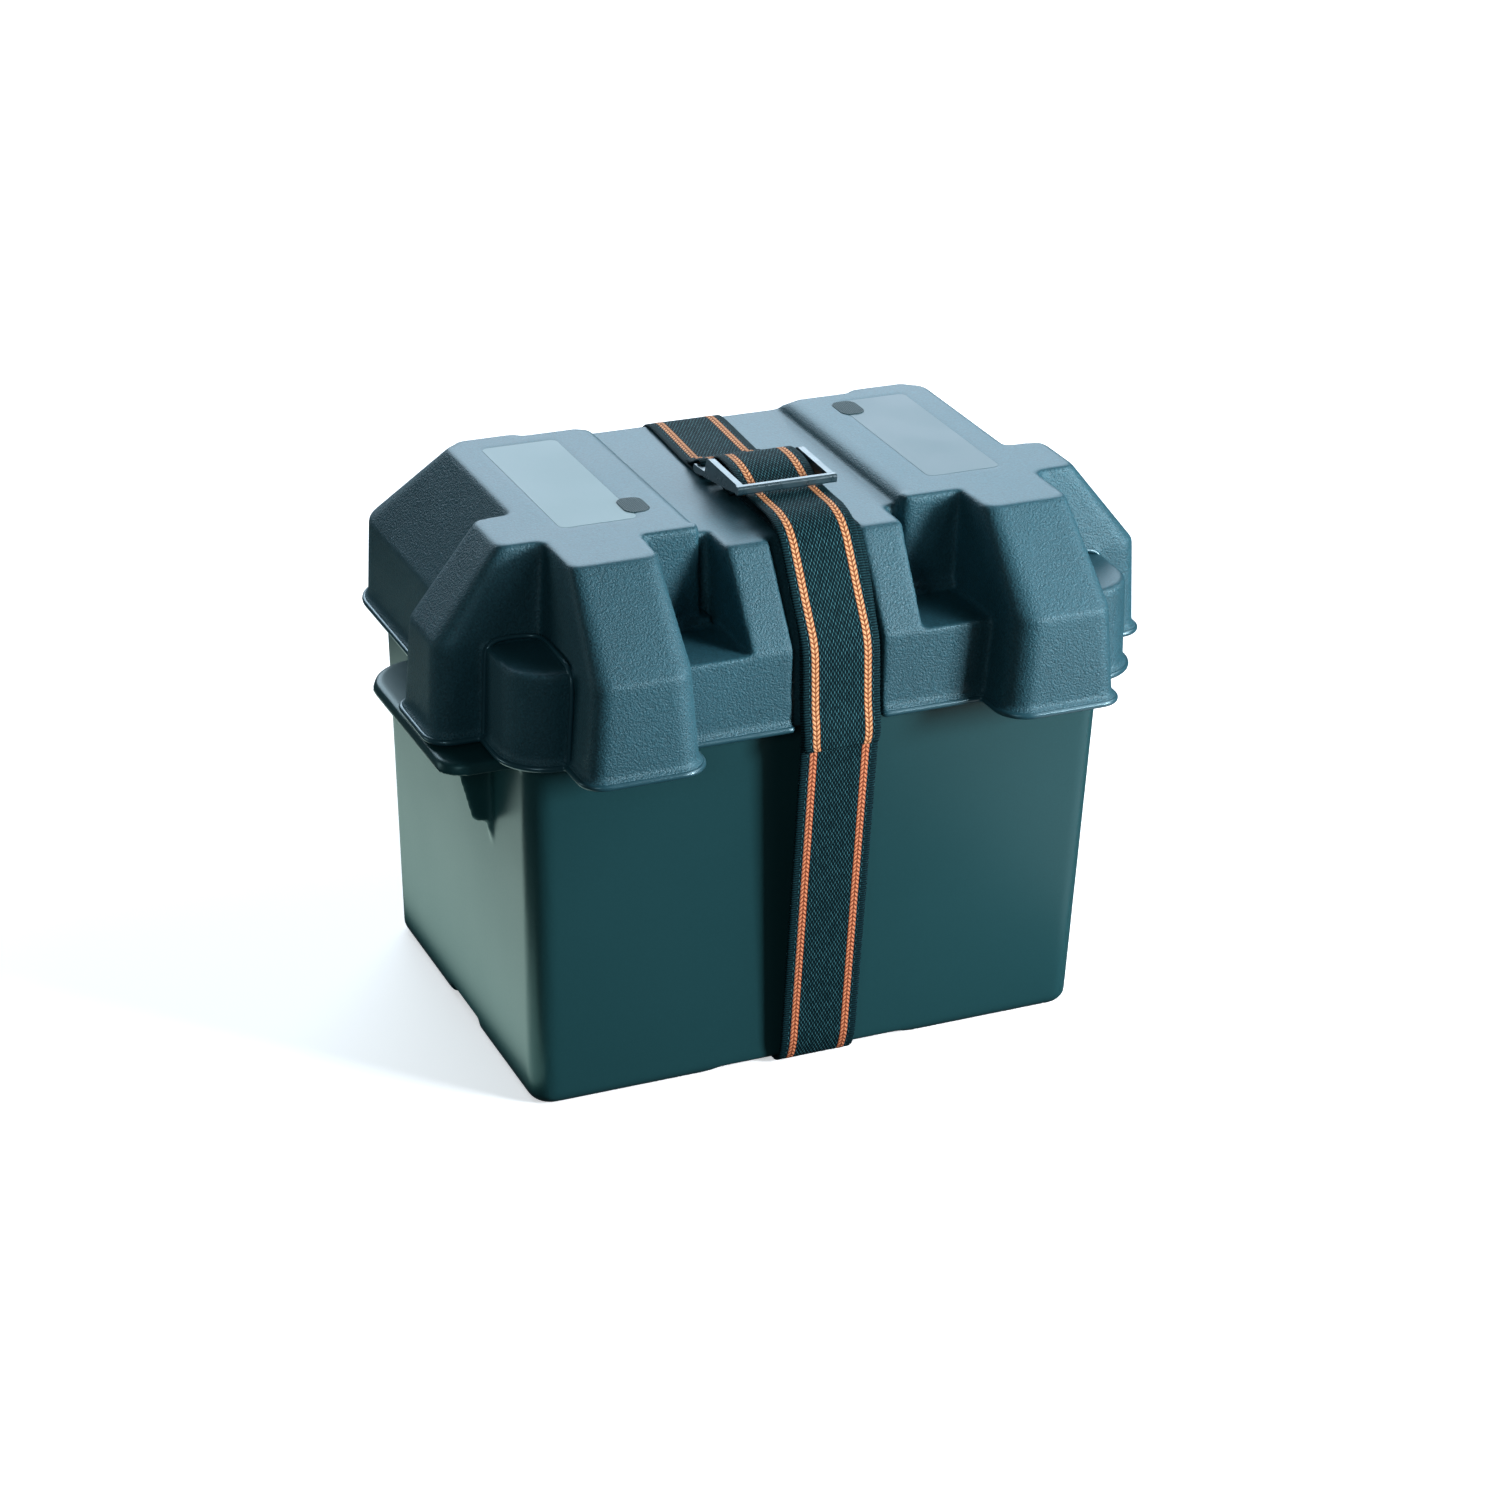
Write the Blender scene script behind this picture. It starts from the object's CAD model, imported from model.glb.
import math

import bmesh
import bpy
import numpy as np
from mathutils import Matrix, Vector


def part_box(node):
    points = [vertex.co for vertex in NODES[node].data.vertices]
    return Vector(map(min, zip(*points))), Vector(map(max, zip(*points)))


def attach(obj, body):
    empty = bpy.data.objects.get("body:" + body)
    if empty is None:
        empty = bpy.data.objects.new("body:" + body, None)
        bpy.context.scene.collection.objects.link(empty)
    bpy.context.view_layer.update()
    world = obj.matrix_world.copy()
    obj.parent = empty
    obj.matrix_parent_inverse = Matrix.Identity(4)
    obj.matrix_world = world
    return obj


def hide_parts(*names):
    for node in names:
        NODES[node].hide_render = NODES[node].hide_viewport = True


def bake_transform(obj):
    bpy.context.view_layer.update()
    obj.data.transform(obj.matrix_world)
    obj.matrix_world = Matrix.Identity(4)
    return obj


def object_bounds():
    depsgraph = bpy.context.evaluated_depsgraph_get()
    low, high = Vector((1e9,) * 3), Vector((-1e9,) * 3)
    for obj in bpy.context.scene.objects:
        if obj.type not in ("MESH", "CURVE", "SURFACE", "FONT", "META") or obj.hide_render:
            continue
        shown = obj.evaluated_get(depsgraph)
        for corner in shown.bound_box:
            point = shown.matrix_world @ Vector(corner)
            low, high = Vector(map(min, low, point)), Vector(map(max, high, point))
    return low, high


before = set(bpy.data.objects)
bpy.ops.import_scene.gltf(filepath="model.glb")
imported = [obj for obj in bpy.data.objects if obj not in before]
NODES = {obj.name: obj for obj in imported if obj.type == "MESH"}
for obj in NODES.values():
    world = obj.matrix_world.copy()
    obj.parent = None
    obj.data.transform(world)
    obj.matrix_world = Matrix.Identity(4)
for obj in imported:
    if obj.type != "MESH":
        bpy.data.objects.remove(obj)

CAD_LO, CAD_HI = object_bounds()
scene = bpy.context.scene
YS = 0.012799                      # row y of the tub's own centre
PAL_T = (0.0110, 0.050, 0.056, 1)   # tub plastic
PAL_L = (0.0150, 0.060, 0.078, 1)   # lid plastic


# ---------------------------------------------------------------- camera
def make_camera():
    az, el, roll = math.radians(-24.19360209), math.radians(25.54362105), math.radians(1.4087057)
    back = Vector((math.sin(az) * math.cos(el), -math.cos(az) * math.cos(el), math.sin(el)))
    right = Vector((math.cos(az), math.sin(az), 0))
    up = back.cross(right)
    r = math.cos(roll) * right + math.sin(roll) * up
    u = -math.sin(roll) * right + math.cos(roll) * up
    loc = Vector((0.00804, YS, 0.11104)) + back * 1.7494
    data = bpy.data.cameras.new("camera")
    data.lens, data.sensor_width, data.clip_start, data.clip_end = 89.53, 36, 0.05, 60
    cam = bpy.data.objects.new("camera", data)
    scene.collection.objects.link(cam)
    cam.matrix_world = Matrix(((r.x, u.x, back.x, loc.x), (r.y, u.y, back.y, loc.y), (r.z, u.z, back.z, loc.z), (0, 0, 0, 1)))
    scene.camera = cam


make_camera()
scene.view_settings.view_transform = "Standard"
scene.view_settings.look = "None"


# ---------------------------------------------------------------- node helper
class Mat:
    """A small procedural material builder."""

    def __init__(self, name):
        self.m = bpy.data.materials.new(name)
        self.m.use_nodes = True
        self.t = self.m.node_tree
        self.t.nodes.clear()
        out = self.t.nodes.new("ShaderNodeOutputMaterial")
        self.b = self.t.nodes.new("ShaderNodeBsdfPrincipled")
        self.t.links.new(self.b.outputs[0], out.inputs[0])

    def put(self, sock, v):
        if isinstance(v, bpy.types.NodeSocket):
            self.t.links.new(v, sock)
        else:
            sock.default_value = v

    def node(self, kind, props=None, **ins):
        n = self.t.nodes.new(kind)
        for k, v in (props or {}).items():
            setattr(n, k, v)
        for k, v in ins.items():
            self.put(n.inputs[k.replace("_", " ")], v)
        return n

    def math(self, op, a, b=None, c=None):
        n = self.t.nodes.new("ShaderNodeMath")
        n.operation = op
        for i, v in enumerate((a, b, c)):
            if v is not None:
                self.put(n.inputs[i], v)
        return n.outputs[0]

    def coord(self, which="Object"):
        return self.node("ShaderNodeTexCoord").outputs[which]

    def noise(self, vec, scale, detail=2.0, rough=0.5):
        return self.node("ShaderNodeTexNoise", Vector=vec, Scale=scale, Detail=detail, Roughness=rough).outputs["Fac"]

    def ramp(self, fac, stops, interp="LINEAR"):
        n = self.t.nodes.new("ShaderNodeValToRGB")
        n.color_ramp.interpolation = interp
        el = n.color_ramp.elements
        while len(el) < len(stops):
            el.new(0.5)
        for e, (p, c) in zip(el, stops):
            e.position = p
            e.color = c
        self.t.links.new(fac, n.inputs[0])
        return n.outputs[0]

    def range(self, v, a, b, c, d):
        n = self.node("ShaderNodeMapRange", Value=v, From_Min=a, From_Max=b, To_Min=c, To_Max=d)
        return n.outputs[0]

    def mix(self, fac, a, b):
        n = self.t.nodes.new("ShaderNodeMix")
        n.data_type = "RGBA"
        self.put(n.inputs[0], fac)
        self.put(n.inputs[6], a)
        self.put(n.inputs[7], b)
        return n.outputs[2]

    def bump(self, h, strength, dist, normal=None):
        n = self.node("ShaderNodeBump", Height=h, Strength=strength, Distance=dist)
        if normal is not None:
            self.put(n.inputs["Normal"], normal)
        return n.outputs[0]

    def set(self, **kw):
        for k, v in kw.items():
            self.put(self.b.inputs[k.replace("_", " ")], v)
        return self.m


def shade(c, k):
    return (c[0] * k, c[1] * k, c[2] * k, 1)


def moulded(name, base, rough, grain, gscale=900.0, spec=0.5, var=0.14, depth=0.00012, tint=(1, 1, 1, 1), polished=None):
    """Moulded plastic: base colour with cloudy variation, a pebbled grain and roughness that follows it.
    polished is the roughness of level faces, which have almost no grain."""
    g = Mat(name)
    co = g.coord()
    cloud = g.noise(co, 9.0, 3.0)
    fine = g.noise(co, gscale, 3.0, 0.65)
    vor = g.node("ShaderNodeTexVoronoi", {"feature": "SMOOTH_F1"}, Vector=co, Scale=gscale * 1.25).outputs["Distance"]
    peb = g.math("ADD", g.math("MULTIPLY", vor, 0.35), g.math("MULTIPLY", fine, 0.75))
    tone = g.math("ADD", g.math("MULTIPLY", cloud, 0.35), g.math("MULTIPLY", peb, 0.65))
    col = g.ramp(tone, [(0.28, shade(base, 1 - var)), (0.66, shade(base, 1 + var))])
    soft = g.math("ADD", g.math("MULTIPLY", cloud, 0.6), g.math("MULTIPLY", peb, 0.4))
    rr = g.range(soft, 0.3, 0.7, rough - 0.04, rough + 0.05)
    h = peb
    if polished is not None:
        nz = g.node("ShaderNodeSeparateXYZ", Vector=g.node("ShaderNodeNewGeometry").outputs["Normal"]).outputs[2]
        level = g.range(nz, 0.80, 0.97, 0.0, 1.0)
        rr = g.math("ADD", g.math("MULTIPLY", rr, g.math("SUBTRACT", 1.0, level)), g.math("MULTIPLY", g.range(soft, 0.3, 0.7, polished - 0.03, polished + 0.03), level))
        h = g.math("MULTIPLY", peb, g.math("SUBTRACT", 1.0, g.math("MULTIPLY", level, 0.85)))
    nrm = g.bump(h, grain, depth)
    return g.set(Base_Color=col, Roughness=rr, Normal=nrm, Specular_IOR_Level=spec, Specular_Tint=tint)


# ---------------------------------------------------------------- mesh helpers
def link(name, mesh, smooth=True):
    ob = bpy.data.objects.new(name, mesh)
    scene.collection.objects.link(ob)
    if smooth and len(mesh.polygons):
        mesh.polygons.foreach_set("use_smooth", np.ones(len(mesh.polygons), bool))
    return ob


def baked(ob):
    """The mesh of ob with its modifiers applied."""
    dg = bpy.context.evaluated_depsgraph_get()
    dg.update()
    me = bpy.data.meshes.new_from_object(ob.evaluated_get(dg))
    ob.modifiers.clear()
    old = ob.data
    ob.data = me
    bpy.data.meshes.remove(old)
    return ob


def relax(co, edges, weight, rounds, lam=0.5):
    n, a, b = len(co), edges[:, 0], edges[:, 1]
    deg = (np.bincount(a, minlength=n) + np.bincount(b, minlength=n)).astype(float)
    lw = (lam * weight)[:, None]
    for _ in range(rounds):
        s = np.stack([np.bincount(a, co[b, k], n) + np.bincount(b, co[a, k], n) for k in range(3)], 1) / deg[:, None]
        co = co + (s - co) * lw
    return co


def relax_part(co, edges, keep, weight, rounds):
    """relax, but only for the vertices in keep."""
    e = edges[keep[edges[:, 0]] | keep[edges[:, 1]]]
    ids, flat = np.unique(e, return_inverse=True)
    e2 = flat.reshape(-1, 2)
    sub = relax(co[ids], e2, weight[ids], rounds)
    out = co.copy()
    out[ids[keep[ids]]] = sub[keep[ids]]
    return out


def soft_copy(node, name, voxel, rounds, weight, target, extra=None):
    """A copy of a CAD node with soft moulded radii: remeshed, relaxed and thinned."""
    src = NODES[node]
    bm = bmesh.new()
    bm.from_mesh(src.data)
    bmesh.ops.remove_doubles(bm, verts=bm.verts, dist=2e-6)
    me = bpy.data.meshes.new(name)
    bm.to_mesh(me)
    bm.free()
    ob = link(name, me)
    mod = ob.modifiers.new("remesh", "REMESH")
    mod.mode, mod.voxel_size, mod.adaptivity = "VOXEL", voxel, 0
    baked(ob)
    me = ob.data
    n = len(me.vertices)
    co = np.empty(n * 3)
    me.vertices.foreach_get("co", co)
    co = co.reshape(-1, 3)
    ed = np.empty(len(me.edges) * 2, np.int64)
    me.edges.foreach_get("vertices", ed)
    ed = ed.reshape(-1, 2)
    co = relax(co, ed, weight(co), rounds)
    if extra:
        w = extra[0](co)
        co = relax_part(co, ed, w > 0, w, extra[1])
    me.vertices.foreach_set("co", co.astype(np.float32).ravel())
    me.update()
    if len(me.polygons) * 2 > target:
        mod = ob.modifiers.new("thin", "DECIMATE")
        mod.ratio = target / (len(me.polygons) * 2)
        baked(ob)
    me = ob.data
    me.polygons.foreach_set("use_smooth", np.ones(len(me.polygons), bool))
    me.materials.clear()
    print("soft", name, n, len(me.polygons))
    return ob


def step(v, a, b):
    t = np.clip((v - a) / (b - a), 0, 1)
    return t * t * (3 - 2 * t)


# ---------------------------------------------------------------- moulded shells
lid_mat = moulded("lid_moulded", PAL_L, 0.48, 1.0, 1000.0, 0.55, 0.58, 0.00048, (0.66, 0.92, 1.0, 1), 0.44)
tub_mat = moulded("tub_moulded", PAL_T, 0.35, 0.10, 1100.0, 0.40, 0.08, 0.00006, (0.60, 0.95, 0.95, 1))

lid_lo, lid_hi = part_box("lid")


def lid_weight(c):
    """Less rounding at the rim bead, more on the tops of the two corner posts."""
    w = 0.75 + 0.25 * step(c[:, 2], lid_lo.z + 0.0045, lid_lo.z + 0.0075) + 0.80 * step(c[:, 2], 0.2150, 0.2350)
    post = step(np.abs(c[:, 0]), 0.1270, 0.1300) * (1 - step(c[:, 1], YS - 0.0790, YS - 0.0750)) * step(c[:, 2], 0.2040, 0.2110)
    return np.minimum(w + 0.9 * post, 1.85)


def inner_edge(c):
    """The edges of the two plateaus that face the strap have the largest radius."""
    x = np.abs(c[:, 0])
    return 1.8 * step(x, 0.0400, 0.0440) * (1 - step(x, 0.0520, 0.0570)) * step(c[:, 2], 0.2548, 0.2570) * step(c[:, 1], YS - 0.0640, YS - 0.0600)


lid = soft_copy("lid", "lid_shell", 0.0009, 9, lid_weight, 280000, (inner_edge, 45))
lid.data.materials.append(lid_mat)
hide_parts("lid")
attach(lid, "lid")

tub = soft_copy("box_body", "tub_shell", 0.0011, 5, lambda c: np.ones(len(c)), 130000)
tub.data.materials.append(tub_mat)
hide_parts("box_body")
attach(tub, "box")


# ---------------------------------------------------------------- round bead along the lid's lower edge
def outline_at(node, z):
    """Outer outline of a CAD node at height z, as ordered (x, y) points in metres."""
    bm = bmesh.new()
    bm.from_mesh(NODES[node].data)
    bmesh.ops.remove_doubles(bm, verts=bm.verts, dist=2e-6)
    cut = bmesh.ops.bisect_plane(bm, geom=bm.verts[:] + bm.edges[:] + bm.faces[:], plane_co=(0, 0, z), plane_no=(0, 0, 1))["geom_cut"]
    near = {}
    for e in (g for g in cut if isinstance(g, bmesh.types.BMEdge)):
        p, q = e.verts
        near.setdefault(p, []).append(q)
        near.setdefault(q, []).append(p)
    best, seen = [], set()
    for v in sorted(near, key=lambda v: (round(v.co.x, 7), round(v.co.y, 7))):
        if v in seen:
            continue
        loop, cur = [], v
        while cur is not None:
            seen.add(cur)
            loop.append((cur.co.x, cur.co.y))
            cur = next((n for n in near[cur] if n not in seen), None)
        a = np.array(loop)
        if not len(best) or np.prod(np.ptp(a, axis=0)) > np.prod(np.ptp(best, axis=0)):
            best = a
    bm.free()
    return best


def edge_bead(name, outline, z, radius, inset, mat):
    """A closed round bead along an outline."""
    p = np.vstack([outline, outline[:1]])
    L = np.concatenate([[0], np.cumsum(np.linalg.norm(np.diff(p, axis=0), axis=1))])
    n = int(L[-1] / 0.0011)
    s = np.linspace(0, L[-1], n, endpoint=False)
    q = np.stack([np.interp(s, L, p[:, 0]), np.interp(s, L, p[:, 1])], 1)
    for _ in range(2):
        q = (np.roll(q, 1, 0) + 2 * q + np.roll(q, -1, 0)) / 4
    t = np.roll(q, -1, 0) - np.roll(q, 1, 0)
    t /= np.linalg.norm(t, axis=1)[:, None]
    nor = np.stack([t[:, 1], -t[:, 0]], 1)
    area2 = np.sum(q[:, 0] * np.roll(q[:, 1], -1) - np.roll(q[:, 0], -1) * q[:, 1])
    if area2 < 0:
        nor = -nor
    m = 12
    an = 2 * math.pi * np.arange(m) / m
    off = -inset + radius * np.cos(an)
    co = np.concatenate([q[:, None, :] + nor[:, None, :] * off[None, :, None], np.broadcast_to((z + radius * np.sin(an))[None, :, None], (n, m, 1))], 2)
    faces = [(i * m + j, i * m + (j + 1) % m, ((i + 1) % n) * m + (j + 1) % m, ((i + 1) % n) * m + j) for i in range(n) for j in range(m)]
    me = bpy.data.meshes.new(name)
    me.from_pydata([tuple(c) for c in co.reshape(-1, 3)], [], faces)
    bm = bmesh.new()
    bm.from_mesh(me)
    bmesh.ops.recalc_face_normals(bm, faces=bm.faces)
    bm.to_mesh(me)
    bm.free()
    ob = link(name, me)
    me.materials.append(mat)
    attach(ob, "lid")
    print("bead", name, round(L[-1] * 1000), "mm")
    return ob


edge_mat = moulded("lid_edge", PAL_L, 0.30, 0.12, 1100.0, 0.80, 0.10, 0.00006, (0.66, 0.92, 1.0, 1))
edge_bead("rim_bead", outline_at("lid", lid_lo.z + 0.0015), lid_lo.z + 0.0015, 0.0015, 0.0007, edge_mat)


# ---------------------------------------------------------------- labels and thumb pads
def rounded_plate(name, cx, cy, hx, hy, r, z0, z1, bevel=0.00018, n=10):
    """A flat plate with rounded corners, lightly bevelled top edge."""
    def ring(inset, z):
        pts = []
        for qx, qy, a0 in ((1, 1, 0), (-1, 1, 90), (-1, -1, 180), (1, -1, 270)):
            for i in range(n + 1):
                a = math.radians(a0 + 90 * i / n)
                rr = max(r - inset, 1e-5)
                pts.append((cx + qx * (hx - r) + rr * math.cos(a), cy + qy * (hy - r) + rr * math.sin(a), z))
        return pts
    bm = bmesh.new()
    rows = [[bm.verts.new(p) for p in ring(i, z)] for i, z in ((0, z0), (0, z1 - bevel), (bevel * 0.4, z1 - bevel * 0.25), (bevel, z1))]
    m = len(rows[0])
    for lo, up in zip(rows, rows[1:]):
        for i in range(m):
            bm.faces.new((lo[i], lo[(i + 1) % m], up[(i + 1) % m], up[i]))
    bm.faces.new(rows[-1])
    bm.faces.new(list(reversed(rows[0])))
    me = bpy.data.meshes.new(name)
    bm.to_mesh(me)
    bm.free()
    return link(name, me, smooth=False)


def label_film(name, c0, c1):
    g = Mat(name)
    co = g.coord()
    cl = g.noise(co, 26.0, 2.0)
    return g.set(Base_Color=g.ramp(cl, [(0.3, c0), (0.7, c1)]), Roughness=g.range(cl, 0.3, 0.7, 0.40, 0.46),
                 Normal=g.bump(g.noise(co, 700.0), 0.04, 0.00005), Specular_IOR_Level=0.42)


label_mats = {"left": label_film("label_film_left", (0.100, 0.190, 0.205, 1), (0.130, 0.225, 0.240, 1)),
              "right": label_film("label_film_right", (0.046, 0.104, 0.124, 1), (0.060, 0.128, 0.148, 1))}

g = Mat("thumb_pad")
co = g.coord()
w1 = g.node("ShaderNodeTexWave", {"wave_type": "BANDS", "bands_direction": "X"}, Vector=co, Scale=330.0, Distortion=1.2, Detail=2.0).outputs["Fac"]
w2 = g.node("ShaderNodeTexWave", {"wave_type": "BANDS", "bands_direction": "Y"}, Vector=co, Scale=330.0, Distortion=1.2, Detail=2.0).outputs["Fac"]
hh = g.math("MULTIPLY", w1, w2)
g.set(Base_Color=g.ramp(hh, [(0.0, (0.012, 0.040, 0.046, 1)), (0.8, (0.045, 0.090, 0.098, 1))]), Roughness=g.range(hh, 0, 1, 0.62, 0.5),
      Normal=g.bump(hh, 0.8, 0.0003), Specular_IOR_Level=0.35)
pad_mat = g.m

TOP = lid_hi.z
for side, s in (("left", -1), ("right", 1)):
    p = rounded_plate(f"label_{side}", 0.088 * s, 0.001 + YS, 0.0181, 0.0506, 0.0034, TOP - 0.0009, TOP - 0.00012)
    p.data.materials.append(label_mats[side])
    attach(p, "lid")
for side, cx, cy in (("left", -0.0668, -0.0356), ("right", 0.0730, 0.0423)):
    p = rounded_plate(f"thumb_pad_{side}", cx, cy + YS, 0.0060, 0.0086, 0.0048, TOP - 0.001, TOP + 0.00025)
    p.data.materials.append(pad_mat)
    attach(p, "lid")


def bead_line(name, pts, radius, body):
    """A thin moulded bead that follows a smooth line through pts."""
    cu = bpy.data.curves.new(name, "CURVE")
    cu.dimensions, cu.bevel_depth, cu.bevel_resolution, cu.use_fill_caps = "3D", radius, 3, True
    sp = cu.splines.new("NURBS")
    sp.points.add(len(pts) - 1)
    for q, p in zip(sp.points, pts):
        q.co = (p[0], p[1], p[2], 1)
    sp.order_u, sp.use_endpoint_u = 3, True
    cu.resolution_u = 6
    ob = bpy.data.objects.new(name, cu)
    scene.collection.objects.link(ob)
    dg = bpy.context.evaluated_depsgraph_get()
    dg.update()
    me = bpy.data.meshes.new_from_object(ob.evaluated_get(dg))
    bpy.data.objects.remove(ob)
    ob = link(name, me)
    me.materials.clear()
    me.materials.append(edge_mat)
    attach(ob, body)
    return ob


for side, s in (("left", -1), ("right", 1)):
    bead_line(f"post_bead_{side}", [(s * x / 1000, y / 1000 + YS, z / 1000) for x, y, z in (
        (150.0, -72.0, 178.0), (149.4, -72.0, 196.0), (149.0, -71.9, 209.0), (148.4, -71.2, 217.0), (144.0, -70.2, 220.2), (136.0, -69.8, 220.4),
        (127.5, -70.5, 220.2), (123.8, -75.0, 220.2), (123.6, -88.0, 220.2), (123.9, -102.0, 220.0), (124.3, -109.5, 217.5), (124.6, -111.4, 209.0),
        (125.4, -111.8, 196.0), (126.3, -112.2, 178.0))], 0.0011, "lid")


# ---------------------------------------------------------------- webbing
def smooth_path(pts, radii, stepmm):
    """(y, z) points in mm, corners rounded by short curves, resampled evenly."""
    p = np.array(pts, float)
    out = [p[0]]
    for i in range(1, len(p) - 1):
        a, b, c = p[i - 1], p[i], p[i + 1]
        r = radii if not isinstance(radii, dict) else radii.get(i, radii["d"])
        la, lc = np.linalg.norm(a - b), np.linalg.norm(c - b)
        d = min(r, la * 0.48, lc * 0.48)
        s, e = b + (a - b) / la * d, b + (c - b) / lc * d
        for t in np.linspace(0, 1, 9):
            out.append((1 - t) ** 2 * s + 2 * t * (1 - t) * b + t * t * e)
    out.append(p[-1])
    q = [out[0]]
    for v in out[1:]:
        if np.linalg.norm(v - q[-1]) > 1e-6:
            q.append(v)
    q = np.array(q)
    L = np.concatenate([[0], np.cumsum(np.linalg.norm(np.diff(q, axis=0), axis=1))])
    n = max(2, int(round(L[-1] / stepmm)))
    s = np.linspace(0, L[-1], n + 1)
    return np.stack([np.interp(s, L, q[:, 0]), np.interp(s, L, q[:, 1])], 1), s


def webbing(name, pts, radii, thick, width=38.0, xoff=None, stepmm=1.1, tip=(0, 0), pitch=2.2):
    """Flat woven strap following a path in the YZ plane, closed, with rolled serrated edges and raised stripes."""
    path, s = smooth_path(pts, radii, stepmm)
    tan = np.gradient(path, axis=0)
    for _ in range(3):
        tan[1:-1] = (tan[:-2] + 2 * tan[1:-1] + tan[2:]) / 4
    tan /= np.linalg.norm(tan, axis=1)[:, None]
    nor = np.stack([-tan[:, 1], tan[:, 0]], 1)
    half, ht = width / 2, thick / 2
    nv = 30
    v = np.linspace(-1, 1, nv)
    v = np.sign(v) * (1 - (1 - np.abs(v)) ** 1.15)
    edge = np.clip((1 - np.abs(v)) * half / 0.9, 0, 1)
    prof = ht * np.sqrt(np.clip(1 - (1 - edge) ** 2, 0.05, 1))
    strip = 0.10 * np.exp(-((np.abs(v) * half - 12.73) / 1.9) ** 4)
    ring_v = np.concatenate([v, v[::-1]])
    ring_h = np.concatenate([prof + strip - 0.10, -(prof - 0.04)[::-1]])
    m = len(ring_v)
    xo = np.zeros(len(s)) if xoff is None else np.array([xoff(a, b, c) for (a, b), c in zip(path, s)])
    wob = 0.16 * np.sin(2 * math.pi * s / pitch)
    serr = (np.abs(ring_v) > 0.93)
    L = s[-1]
    wid = np.ones(len(s))
    for end, dist in ((0, s), (1, L - s)):
        if tip[end]:
            wid *= 1 - 0.055 * np.clip(1 - dist / tip[end], 0, 1) ** 2
    X = xo[:, None] + ring_v[None, :] * (half - 0.25) * wid[:, None] + np.where(serr[None, :], np.sign(ring_v)[None, :] * wob[:, None], 0)
    Y = path[:, 0][:, None] + nor[:, 0][:, None] * ring_h[None, :]
    Z = path[:, 1][:, None] + nor[:, 1][:, None] * ring_h[None, :]
    co = np.stack([X / 1000, Y / 1000 + YS, Z / 1000], 2).reshape(-1, 3)
    k = len(s)
    faces, uvs = [], []
    for i in range(k - 1):
        for j in range(m):
            a, b = i * m + j, i * m + (j + 1) % m
            faces.append((a, b, b + m, a + m))
    faces.append(tuple(reversed(range(m))))
    faces.append(tuple((k - 1) * m + j for j in range(m)))
    me = bpy.data.meshes.new(name)
    me.from_pydata([tuple(c) for c in co], [], faces)
    me.validate()
    uvl = me.uv_layers.new(name="strap")
    idx = np.empty(len(me.loops), np.int64)
    me.loops.foreach_get("vertex_index", idx)
    vv = np.tile(ring_v * half, k)[idx]
    ss = np.repeat(s, m)[idx]
    uvl.data.foreach_set("uv", np.stack([ss, vv], 1).astype(np.float32).ravel())
    bm = bmesh.new()
    bm.from_mesh(me)
    bmesh.ops.recalc_face_normals(bm, faces=bm.faces)
    bm.to_mesh(me)
    bm.free()
    print("web", name, round(L, 1), "mm", len(me.polygons))
    return link(name, me)


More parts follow.
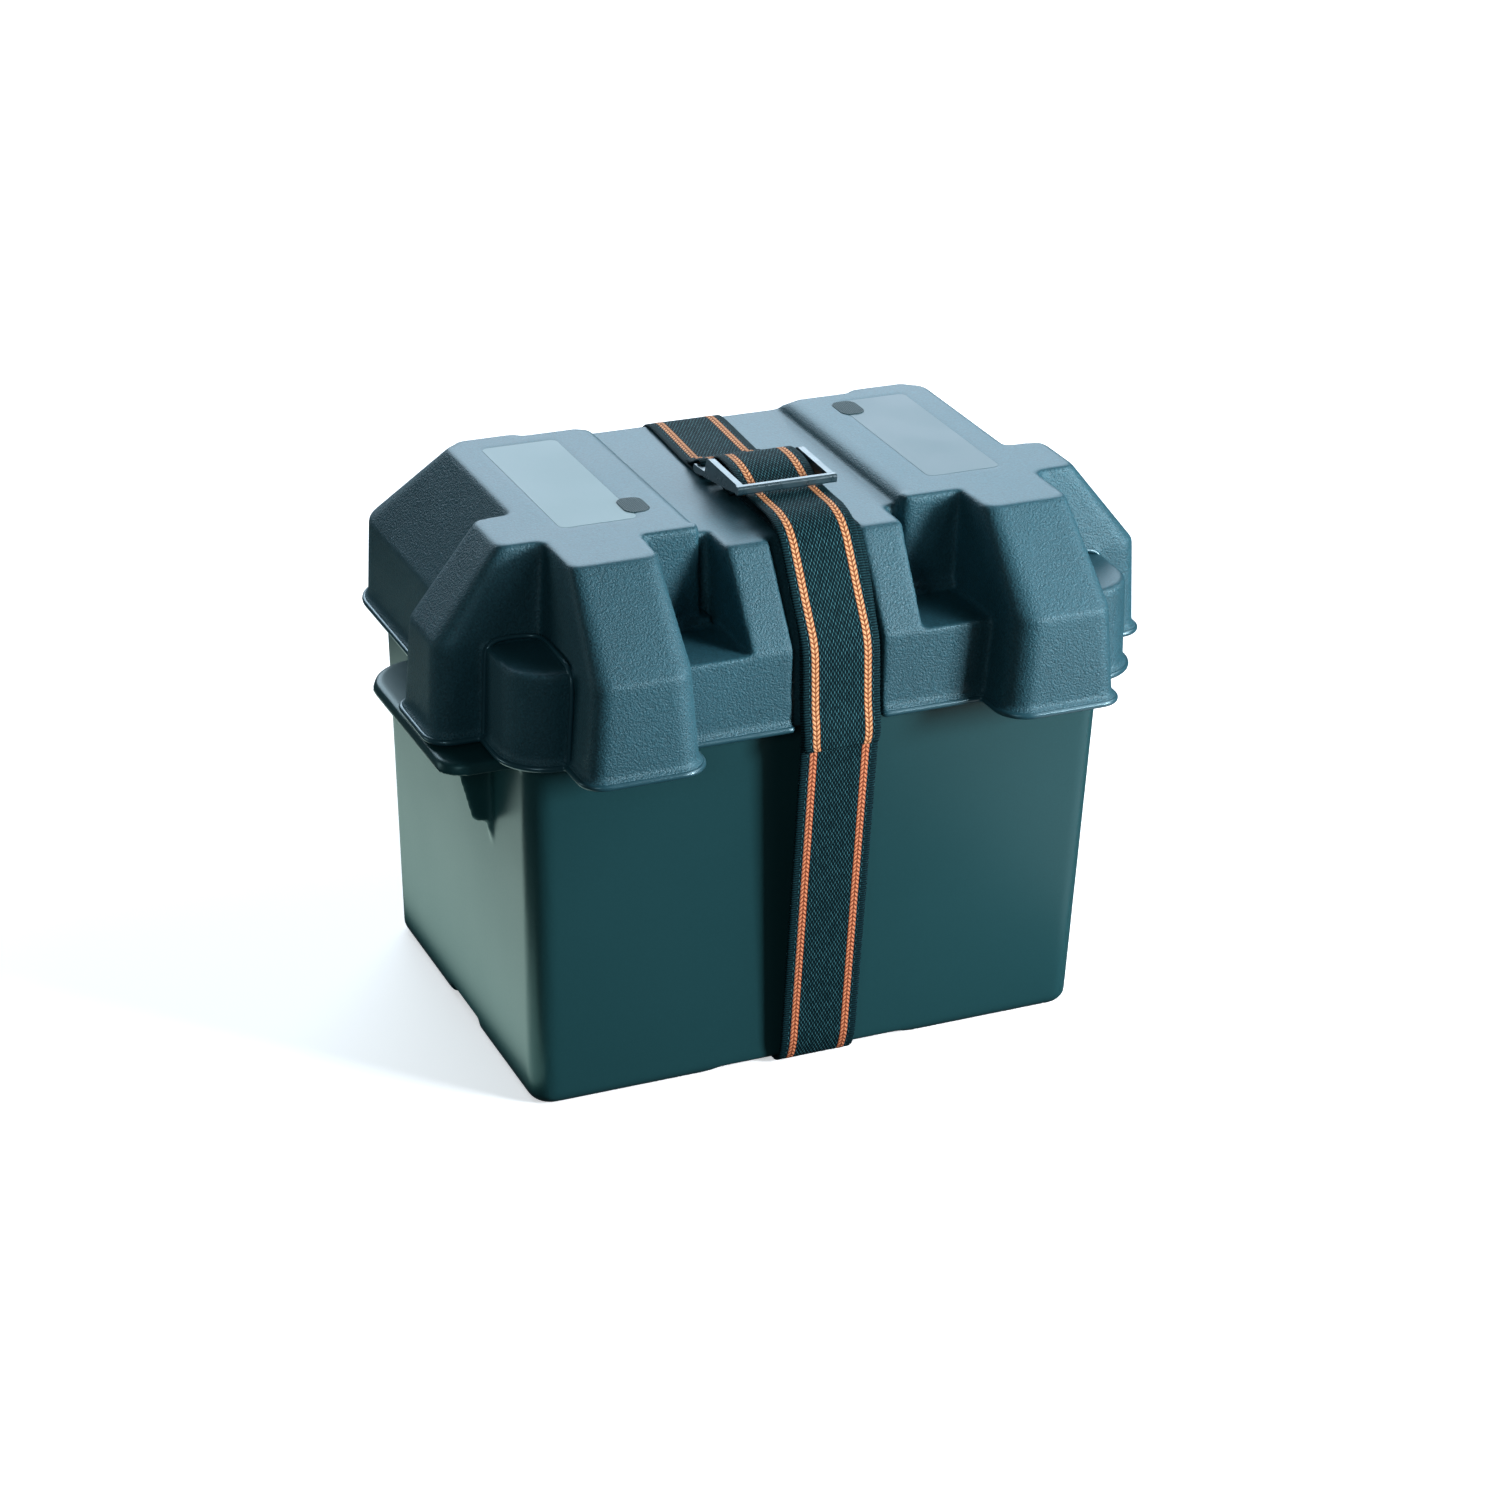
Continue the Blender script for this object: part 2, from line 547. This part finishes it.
def webbing_material(name, dull, mid, bright, top=None):
    g = Mat(name)
    uv = g.node("ShaderNodeUVMap", {"uv_map": "strap"}).outputs[0]
    sep = g.node("ShaderNodeSeparateXYZ", Vector=uv)
    U, V = sep.outputs[0], sep.outputs[1]
    wv = g.noise(uv, 0.9, 2.0)
    # body: short floats in columns, each column half a pitch off its neighbours
    cv = g.math("DIVIDE", g.math("ADD", V, 40.0), 0.86)
    col = g.math("FLOOR", cv)
    ph = g.math("MULTIPLY", g.math("MODULO", col, 2.0), 0.5)
    un = g.math("ADD", g.math("DIVIDE", U, 2.90), ph)
    au = g.math("FRACT", un)
    cell = g.node("ShaderNodeTexWhiteNoise", Vector=g.node("ShaderNodeCombineXYZ", X=col, Y=g.math("FLOOR", un)).outputs[0]).outputs["Value"]
    su = g.math("SINE", g.math("MULTIPLY", au, math.pi))
    sv = g.math("SINE", g.math("MULTIPLY", g.math("FRACT", cv), math.pi))
    body = g.math("MULTIPLY", g.math("MULTIPLY", g.math("POWER", su, 0.9), g.math("POWER", sv, 0.8)), g.range(cell, 0, 1, 0.78, 1.0))
    # stripes: two columns of slanted floats that meet like a plait
    av = g.math("ABSOLUTE", V)
    dv = g.math("SUBTRACT", av, 12.73)
    adv = g.math("ABSOLUTE", dv)
    cu = g.math("FRACT", g.math("ADD", g.math("DIVIDE", U, 2.20), g.math("MULTIPLY", adv, 0.42)))
    cs = g.math("SINE", g.math("MULTIPLY", cu, math.pi))
    cvv = g.math("SINE", g.math("MULTIPLY", g.math("FRACT", g.math("DIVIDE", adv, 1.85)), math.pi))
    plait = g.math("MULTIPLY", g.math("POWER", cs, 0.7), g.math("POWER", cvv, 0.45))
    # rolled edges: plain cross ribs
    eu = g.math("MULTIPLY", g.math("SINE", g.math("MULTIPLY", g.math("FRACT", g.math("DIVIDE", U, 1.20)), math.pi)), 0.62)
    in_stripe = g.math("LESS_THAN", adv, 1.80)
    in_edge = g.math("GREATER_THAN", av, 15.6)
    h = g.math("ADD", g.math("MULTIPLY", body, g.math("SUBTRACT", 1.0, g.math("MAXIMUM", in_stripe, in_edge))),
               g.math("ADD", g.math("MULTIPLY", plait, in_stripe), g.math("MULTIPLY", eu, in_edge)))
    hn = g.math("ADD", h, g.math("MULTIPLY", wv, 0.25))
    black = g.ramp(hn, [(0.38, (0.0004, 0.003, 0.0045, 1)), (0.72, (0.0036, 0.022, 0.028, 1)), (1.0, (0.044, 0.140, 0.160, 1))])
    orange = g.ramp(hn, [(0.25, dull), (0.70, mid), (1.0, bright)])
    if top:                            # sun-bleached, lighter dye on the part above the lid
        z = g.node("ShaderNodeSeparateXYZ", Vector=g.coord()).outputs[2]
        orange = g.mix(g.range(z, 0.185, 0.205, 0.0, 1.0), orange, g.ramp(hn, [(0.25, top[0]), (0.70, top[1]), (1.0, top[2])]))
    colr = g.mix(in_stripe, black, orange)
    return g.set(Base_Color=colr, Roughness=g.range(hn, 0, 1, 0.85, 0.60), Normal=g.bump(hn, 0.75, 0.00035),
                 Specular_IOR_Level=0.16, Specular_Tint=(0.4, 0.9, 1.0, 1))


LIGHT_DYE = ((0.16, 0.045, 0.016, 1), (0.47, 0.165, 0.062, 1), (0.80, 0.40, 0.19, 1))
web_mat = webbing_material("woven_webbing", (0.15, 0.035, 0.014, 1), (0.44, 0.110, 0.046, 1), (0.72, 0.27, 0.13, 1), LIGHT_DYE)
tail_mat = webbing_material("woven_webbing_tail", *LIGHT_DYE)
arc = [(-2 + 3.55 * math.cos(math.radians(a)), 257.2 + 3.55 * math.sin(math.radians(a))) for a in range(50, 271, 20)]
main_path = ([(14.0, 255.15), (8.5, 255.9), (1.4, 259.85)] + arc + [(0.6, 253.66), (5.0, 253.66), (67.6, 253.8), (108.0, 216.4), (110.0, 186.0),
             (110.9, 176.5), (110.6, 172.5), (101.4, 12.0), (98.8, 4.2), (95.8, 1.2), (91.0, 1.1), (-91.0, 1.1), (-95.8, 1.2), (-98.8, 4.2),
             (-101.4, 12.0), (-113.6, 172.5), (-113.4, 174.0), (-111.2, 184.0), (-109.0, 213.1), (-80.4, 253.8), (-77.0, 253.8), (-31.0, 253.8)])


def skew(y, z, s):
    """The strap wanders a little sideways round the slider, as a hand-tightened strap does."""
    y, z = np.array(float(y)), np.array(float(z))
    if y > -8:
        return float(-2.7 * (1 - 0.8 * step(y, 8.0, 68.0)) * step(z, 190.0, 250.0))
    return float(3.2 * step(z, 205.0, 246.0))


main = webbing("strap_webbing", main_path, 6.0, 1.5, xoff=skew)
main.data.materials.append(web_mat)
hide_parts("strap_lower", "strap_front", "strap_rear")
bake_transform(main)

tail_path = [(-29.5, 254.2), (-16.0, 256.1), (-10.6, 258.1), (-9.6, 261.7), (-11.0, 265.1), (-15.5, 267.0), (-26.0, 267.0),
             (-34.0, 265.2), (-40.0, 262.5), (-46.6, 260.8), (-58.0, 260.2), (-70.5, 260.2), (-79.6, 257.5), (-85.6, 252.2), (-99.6, 230.4),
             (-111.2, 213.1), (-113.4, 184.0), (-115.6, 174.5), (-115.7, 165.5)]
tail = webbing("strap_tail_webbing", tail_path, 7.0, 1.35, width=37.7, tip=(0, 5.0))
tail.data.materials.append(tail_mat)
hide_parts("strap_tail", "strap_fold")
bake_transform(tail)


# ---------------------------------------------------------------- finishes on the CAD nodes
def finish_node(node, material, bevel=0.0, segs=2, angle=35.0, planar=False):
    ob = NODES[node]
    if not ob.material_slots:
        raise RuntimeError(f"{node} has no material slot")
    for sl in ob.material_slots:
        sl.link = "OBJECT"
        sl.material = material
    if bevel:
        w = ob.modifiers.new("weld", "WELD")
        w.merge_threshold = 2e-6
        if planar:
            d = ob.modifiers.new("planar", "DECIMATE")
            d.decimate_type, d.angle_limit = "DISSOLVE", math.radians(1.0)
        b = ob.modifiers.new("bevel", "BEVEL")
        b.width, b.segments, b.limit_method, b.angle_limit = bevel, segs, "ANGLE", math.radians(angle)
        b.harden_normals = False
        b.use_clamp_overlap = True
        ob.modifiers.new("normals", "WEIGHTED_NORMAL").keep_sharp = False


g = Mat("slider_acetal")
co = g.coord()
nz = g.noise(co, 160.0, 2.0)
g.set(Base_Color=g.ramp(nz, [(0.3, (0.010, 0.028, 0.036, 1)), (0.7, (0.016, 0.040, 0.050, 1))]), Roughness=g.range(nz, 0.3, 0.7, 0.26, 0.34),
      Specular_IOR_Level=0.9, Specular_Tint=(0.80, 0.95, 1.0, 1))
finish_node("strap_slider", g.m, 0.0005, 3, planar=True)

case_mat = moulded("battery_case_plastic", (0.050, 0.060, 0.068, 1), 0.42, 0.15, 700.0, 0.5, 0.10, 0.0001)
cover_mat = moulded("battery_cover_plastic", (0.085, 0.095, 0.102, 1), 0.45, 0.18, 700.0, 0.5, 0.10, 0.0001)
cap_mat = moulded("vent_cap_plastic", (0.018, 0.022, 0.026, 1), 0.36, 0.12, 900.0, 0.5, 0.12, 0.00008)
finish_node("battery_case", case_mat, 0.0008)
finish_node("battery_cover", cover_mat, 0.0006)
finish_node("vent_cap_left", cap_mat, 0.0006)
finish_node("vent_cap_right", cap_mat, 0.0006)


def metal(name, c0, c1, rough, scale, metallic=1.0, bump=0.2):
    g = Mat(name)
    co = g.coord()
    n1 = g.noise(co, scale, 4.0, 0.6)
    n2 = g.noise(co, scale * 6, 2.0)
    t = g.math("ADD", g.math("MULTIPLY", n1, 0.7), g.math("MULTIPLY", n2, 0.3))
    return g.set(Base_Color=g.ramp(t, [(0.3, c0), (0.7, c1)]), Roughness=g.range(t, 0.3, 0.7, rough - 0.08, rough + 0.08),
                 Normal=g.bump(n2, bump, 0.0001), Metallic=metallic)


lead = metal("cast_lead", (0.20, 0.21, 0.23, 1), (0.36, 0.37, 0.39, 1), 0.52, 140.0)
steel = metal("stainless_turned", (0.50, 0.50, 0.49, 1), (0.66, 0.66, 0.64, 1), 0.26, 90.0, bump=0.08)
for n in ("positive_post", "negative_post", "positive_cell_bars", "negative_cell_bars", "cell_connectors"):
    finish_node(n, lead, 0.0005 if "post" in n else 0.0)
for n in ("terminal_studs", "terminal_washers", "positive_wing_nut", "negative_wing_nut"):
    finish_node(n, steel, 0.0004)
finish_node("positive_plates", metal("lead_dioxide_paste", (0.060, 0.026, 0.018, 1), (0.12, 0.055, 0.038, 1), 0.85, 240.0, 0.0, 0.6))
finish_node("negative_plates", metal("sponge_lead_paste", (0.17, 0.18, 0.19, 1), (0.28, 0.29, 0.30, 1), 0.75, 240.0, 0.2, 0.6))

g = Mat("separator_sheet")
co = g.coord()
wv = g.node("ShaderNodeTexWave", {"wave_type": "BANDS", "bands_direction": "Y"}, Vector=co, Scale=50.0, Distortion=0.3).outputs["Fac"]
g.set(Base_Color=g.ramp(wv, [(0.2, (0.52, 0.51, 0.47, 1)), (0.8, (0.70, 0.69, 0.65, 1))]), Roughness=g.range(wv, 0, 1, 0.6, 0.7), Normal=g.bump(wv, 0.3, 0.0002))
finish_node("plate_separators", g.m)
finish_node("vent_seals", moulded("seal_rubber", (0.012, 0.012, 0.013, 1), 0.65, 0.25, 1200.0, 0.3, 0.2, 0.0001))


# ---------------------------------------------------------------- stage and light
g = Mat("pale_floor")
co = g.coord()
nf = g.noise(co, 1.4, 2.0)
g.set(Base_Color=g.ramp(nf, [(0.3, (0.90, 0.885, 0.865, 1)), (0.7, (0.94, 0.92, 0.90, 1))]), Roughness=g.range(nf, 0.3, 0.7, 0.88, 0.95), Specular_IOR_Level=0.1,
      Emission_Color=(0.96, 0.98, 1.0, 1), Emission_Strength=0.55)
bm = bmesh.new()
bmesh.ops.create_grid(bm, x_segments=8, y_segments=8, size=9.0)
me = bpy.data.meshes.new("floor")
bm.to_mesh(me)
bm.free()
floor = link("floor", me, smooth=False)
floor.location.z = CAD_LO.z - 0.0002
me.materials.append(g.m)
floor.visible_diffuse = False      # a studio floor that gives no bounce light
floor.visible_glossy = False

g = Mat("pale_backdrop")
nb = g.noise(g.coord(), 0.3, 2.0)
g.set(Base_Color=g.ramp(nb, [(0.3, (0.0, 0.0, 0.0, 1)), (0.7, (0.01, 0.01, 0.01, 1))]), Roughness=g.range(nb, 0.3, 0.7, 0.9, 1.0), Specular_IOR_Level=0.0,
      Emission_Color=(0.96, 0.98, 1.0, 1), Emission_Strength=0.62)
bm = bmesh.new()
bmesh.ops.create_uvsphere(bm, u_segments=48, v_segments=24, radius=8.9)
me = bpy.data.meshes.new("backdrop")
bm.to_mesh(me)
bm.free()
dome = link("backdrop", me)
me.materials.append(g.m)
for seen in ("visible_diffuse", "visible_glossy", "visible_transmission", "visible_volume_scatter", "visible_shadow"):
    setattr(dome, seen, False)       # seen by the camera only, it lights nothing

world = bpy.data.worlds.new("studio")
scene.world = world
world.use_nodes = True
bg = world.node_tree.nodes["Background"]
bg.inputs[0].default_value = (0.80, 0.94, 1.0, 1)
bg.inputs[1].default_value = 0.045


def area(name, loc, target, sx, sy, power, color=(1, 1, 1)):
    d = bpy.data.lights.new(name, "AREA")
    d.shape, d.size, d.size_y, d.energy, d.color = "RECTANGLE", sx, sy, power, color
    o = bpy.data.objects.new(name, d)
    scene.collection.objects.link(o)
    o.location = loc
    o.rotation_mode = "QUATERNION"
    o.rotation_quaternion = (Vector(target) - Vector(loc)).to_track_quat("-Z", "Y")
    return o


area("top_back_box", (0.28, 1.85, 1.25), (0.0, 0.0, 0.15), 2.4, 1.3, 56, (0.73, 0.87, 1.0))
area("overhead_box", (0.80, -0.35, 0.95), (0.08, 0.0, 0.15), 0.7, 0.7, 9.5, (0.86, 0.93, 1.0))
area("right_front_box", (0.77, -0.87, 0.46), (0.0, -0.05, 0.13), 0.30, 0.30, 23.0, (0.89, 0.94, 1.0))
area("left_front_fill", (-0.80, -1.05, 0.75), (-0.08, 0.0, 0.15), 0.30, 0.30, 2.2, (0.78, 0.94, 1.0))
area("left_rear_fill", (-1.70, 0.75, 0.28), (-0.1, 0.0, 0.15), 0.5, 0.5, 3.0, (0.78, 0.97, 1.0))
for name, loc, sx, sy, power, color in (("left_floor_card", (-0.197, 0.15, 0.004), 0.110, 0.50, 0.28, (0.74, 1.0, 0.91)),
                                        ("right_floor_card", (0.35, -0.35, 0.004), 0.36, 0.48, 0.60, (1.0, 0.92, 0.92))):
    card = area(name, loc, (loc[0], loc[1], 1.0), sx, sy, power, color)
    card.rotation_quaternion = (0, 1, 0, 0)      # turned over, facing up, sides along X and Y
    card.visible_camera = False
